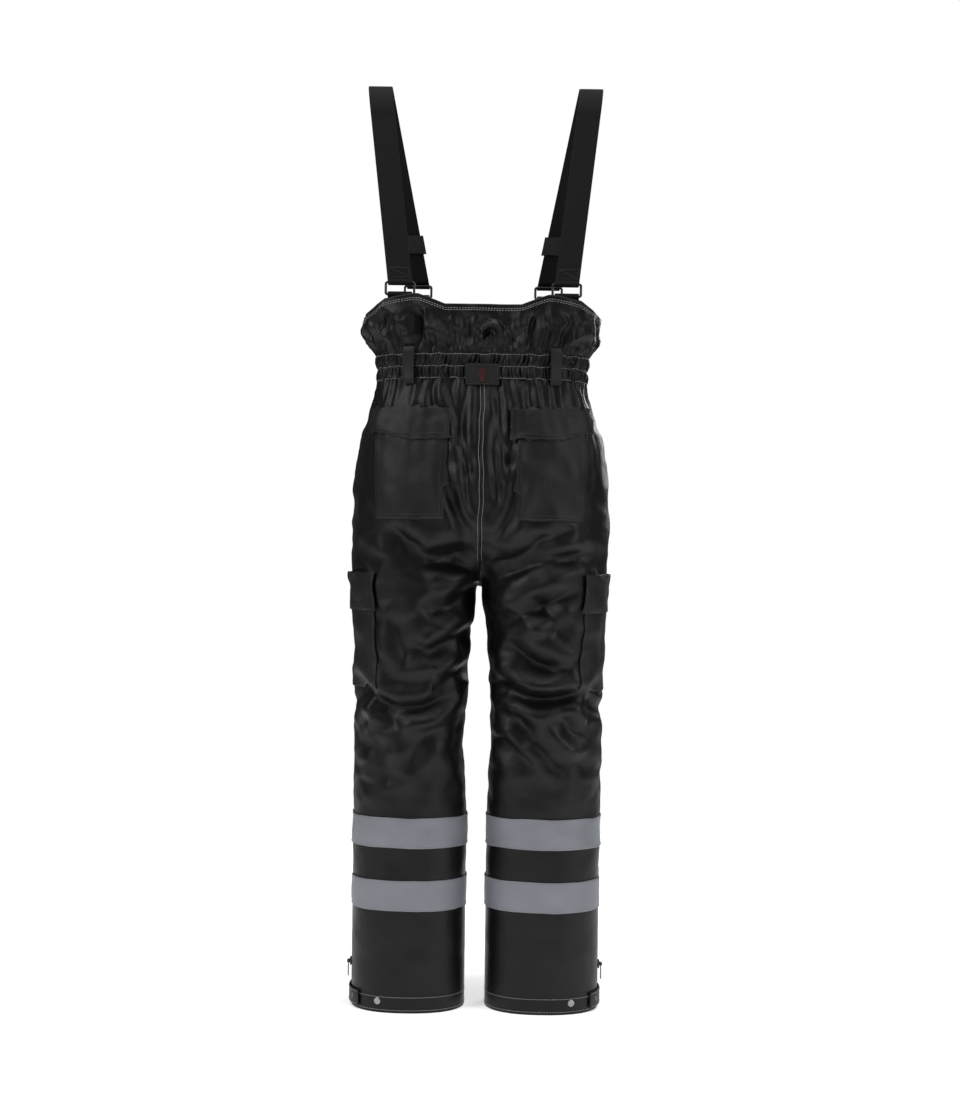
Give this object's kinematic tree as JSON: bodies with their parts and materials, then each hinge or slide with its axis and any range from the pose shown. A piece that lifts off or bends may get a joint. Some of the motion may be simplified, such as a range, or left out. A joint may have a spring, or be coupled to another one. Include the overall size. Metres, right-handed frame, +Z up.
{
  "type": "bunker pants",
  "caption": "Black insulated bib trousers with suspenders, reflective leg bands, flapped cargo and back pockets, zips and hem tabs.",
  "frame": {"origin": "on the floor, midway between the legs, under the middle of the bounding box", "axes": "+Z up; the wearer faces -Y, so +X is the wearer's left"},
  "size_m": [0.44, 0.2743, 1.54],
  "materials": {
    "shell_cloth": "coated, soft sheen",
    "pocket_cloth": "coated, soft sheen",
    "lining": "matte quilted",
    "elastic": "matte ribbed",
    "reflective": "silver retroreflective",
    "snap_metal": "dull silver",
    "zip_tape": "matte",
    "webbing": "woven",
    "hardware": "satin dark",
    "patch_cloth": "matte"
  },
  "bodies": {
    "trousers": {"back_bib": "shell_cloth", "back_panel_left": "shell_cloth", "back_panel_right": "shell_cloth", "back_patch": "patch_cloth", "back_pocket_left": "pocket_cloth", "back_pocket_right": "pocket_cloth", "back_ring_web_left": "webbing", "back_ring_web_right": "webbing", "belt_loop_back_left": "pocket_cloth", "belt_loop_back_right": "pocket_cloth", "belt_loop_front_left": "pocket_cloth", "belt_loop_front_right": "pocket_cloth", "cargo_pocket_left": "pocket_cloth", "cargo_pocket_right": "pocket_cloth", "fly_guard": "shell_cloth", "fly_zip_tape": "zip_tape", "front_bib_left": "shell_cloth", "front_bib_right": "shell_cloth", "front_panel_left": "shell_cloth", "front_panel_right": "shell_cloth", "front_ring_web_left": "webbing", "front_ring_web_right": "webbing", "hand_pocket_welt_left": "pocket_cloth", "hand_pocket_welt_right": "pocket_cloth", "hem_snap_left": "snap_metal", "hem_snap_right": "snap_metal", "leg_zip_tape_left": "zip_tape", "leg_zip_tape_right": "zip_tape", "lining_left": "lining", "lining_right": "lining", "reflective_band_lower_left": "reflective", "reflective_band_lower_right": "reflective", "reflective_band_upper_left": "reflective", "reflective_band_upper_right": "reflective", "waist_elastic_lower": "elastic", "waist_elastic_upper": "elastic", "waistband": "shell_cloth"},
    "back_flap_left": {"back_pocket_flap_left": "pocket_cloth"},
    "cargo_flap_left": {"cargo_flap_left": "pocket_cloth"},
    "hem_tab_left": {"hem_tab_left": "pocket_cloth", "hem_tab_snap_left": "snap_metal"},
    "leg_zip_slider_left": {"leg_zip_left_slider": "hardware"},
    "leg_zip_pull_left": {"leg_zip_left_pull": "hardware"},
    "back_ring_left": {"back_ring_left": "hardware"},
    "suspender_left": {"suspender_left": "webbing"},
    "front_ring_left": {"front_ring_left": "hardware"},
    "adjuster_left": {"adjuster_left": "hardware"},
    "back_flap_right": {"back_pocket_flap_right": "pocket_cloth"},
    "cargo_flap_right": {"cargo_flap_right": "pocket_cloth"},
    "hem_tab_right": {"hem_tab_right": "pocket_cloth", "hem_tab_snap_right": "snap_metal"},
    "leg_zip_slider_right": {"leg_zip_right_slider": "hardware"},
    "leg_zip_pull_right": {"leg_zip_right_pull": "hardware"},
    "back_ring_right": {"back_ring_right": "hardware"},
    "suspender_right": {"suspender_right": "webbing"},
    "front_ring_right": {"front_ring_right": "hardware"},
    "adjuster_right": {"adjuster_right": "hardware"},
    "fly_slider": {"fly_zip_slider": "hardware"},
    "fly_pull": {"fly_zip_pull": "hardware"}
  },
  "joints": [
    {"name": "back_flap_left_hinge", "type": "hinge", "parent": "trousers", "child": "back_flap_left", "pos_m": [0.12012, 0.11994, 1.003], "axis": [0.9246, -0.3809, 0], "range_deg": [0, 100]},
    {"name": "cargo_flap_left_hinge", "type": "hinge", "parent": "trousers", "child": "cargo_flap_left", "pos_m": [0.22401, 0.004, 0.739], "axis": [0, -1, 0], "range_deg": [0, 110]},
    {"name": "hem_tab_left_hinge", "type": "hinge", "parent": "trousers", "child": "hem_tab_left", "pos_m": [0.2028, -0.0375, 0.019], "axis": [0, 0, -1], "range_deg": [0, 110]},
    {"name": "leg_zip_left_slide", "type": "slide", "parent": "trousers", "child": "leg_zip_slider_left", "axis": [0, 0, 1], "range_m": [0, 0.155]},
    {"name": "leg_zip_left_pull_hinge", "type": "hinge", "parent": "leg_zip_slider_left", "child": "leg_zip_pull_left", "pos_m": [0.2126, 0, 0.068], "axis": [0, -1, 0], "range_deg": [0, 120]},
    {"name": "back_ring_left_tilt", "type": "hinge", "parent": "trousers", "child": "back_ring_left", "pos_m": [0.136, 0.09845, 1.1775], "axis": [1, 0, 0], "range_deg": [-20, 20]},
    {"name": "suspender_left_swing", "type": "hinge", "parent": "back_ring_left", "child": "suspender_left", "pos_m": [0.136, 0.09845, 1.1973], "axis": [1, 0, 0], "range_deg": [-20, 20]},
    {"name": "front_ring_left_tilt", "type": "hinge", "parent": "suspender_left", "child": "front_ring_left", "pos_m": [0.114, -0.11093, 1.2218], "axis": [1, 0, 0], "range_deg": [-20, 20]},
    {"name": "adjuster_left_slide", "type": "slide", "parent": "suspender_left", "child": "adjuster_left", "axis": [0.1904, 0.1963, 0.9619], "range_m": [0, 0.12]},
    {"name": "back_flap_right_hinge", "type": "hinge", "parent": "trousers", "child": "back_flap_right", "pos_m": [-0.12012, 0.11994, 1.003], "axis": [0.9246, 0.3809, 0], "range_deg": [0, 100]},
    {"name": "cargo_flap_right_hinge", "type": "hinge", "parent": "trousers", "child": "cargo_flap_right", "pos_m": [-0.22401, 0.004, 0.739], "axis": [0, 1, 0], "range_deg": [0, 110]},
    {"name": "hem_tab_right_hinge", "type": "hinge", "parent": "trousers", "child": "hem_tab_right", "pos_m": [-0.2028, -0.0375, 0.019], "axis": [0, 0, 1], "range_deg": [0, 110]},
    {"name": "leg_zip_right_slide", "type": "slide", "parent": "trousers", "child": "leg_zip_slider_right", "axis": [0, 0, 1], "range_m": [0, 0.155]},
    {"name": "leg_zip_right_pull_hinge", "type": "hinge", "parent": "leg_zip_slider_right", "child": "leg_zip_pull_right", "pos_m": [-0.2126, 0, 0.068], "axis": [0, 1, 0], "range_deg": [0, 120]},
    {"name": "back_ring_right_tilt", "type": "hinge", "parent": "trousers", "child": "back_ring_right", "pos_m": [-0.136, 0.09845, 1.1775], "axis": [1, 0, 0], "range_deg": [-20, 20]},
    {"name": "suspender_right_swing", "type": "hinge", "parent": "back_ring_right", "child": "suspender_right", "pos_m": [-0.136, 0.09845, 1.1973], "axis": [1, 0, 0], "range_deg": [-20, 20]},
    {"name": "front_ring_right_tilt", "type": "hinge", "parent": "suspender_right", "child": "front_ring_right", "pos_m": [-0.114, -0.11093, 1.2218], "axis": [1, 0, 0], "range_deg": [-20, 20]},
    {"name": "adjuster_right_slide", "type": "slide", "parent": "suspender_right", "child": "adjuster_right", "axis": [-0.1904, 0.1963, 0.9619], "range_m": [0, 0.12]},
    {"name": "fly_zip_slide", "type": "slide", "parent": "trousers", "child": "fly_slider", "axis": [0, 0, 1], "range_m": [-0.36, 0]},
    {"name": "fly_pull_hinge", "type": "hinge", "parent": "fly_slider", "child": "fly_pull", "pos_m": [0, -0.1306, 1.171], "axis": [-1, 0, 0], "range_deg": [0, 120]}
  ],
  "couplings": [
    {"joint": "suspender_left_swing", "follows": "back_ring_left_tilt", "ratio": -1},
    {"joint": "front_ring_left_tilt", "follows": "back_ring_left_tilt", "ratio": 1},
    {"joint": "suspender_right_swing", "follows": "back_ring_right_tilt", "ratio": -1},
    {"joint": "front_ring_right_tilt", "follows": "back_ring_right_tilt", "ratio": 1}
  ]
}
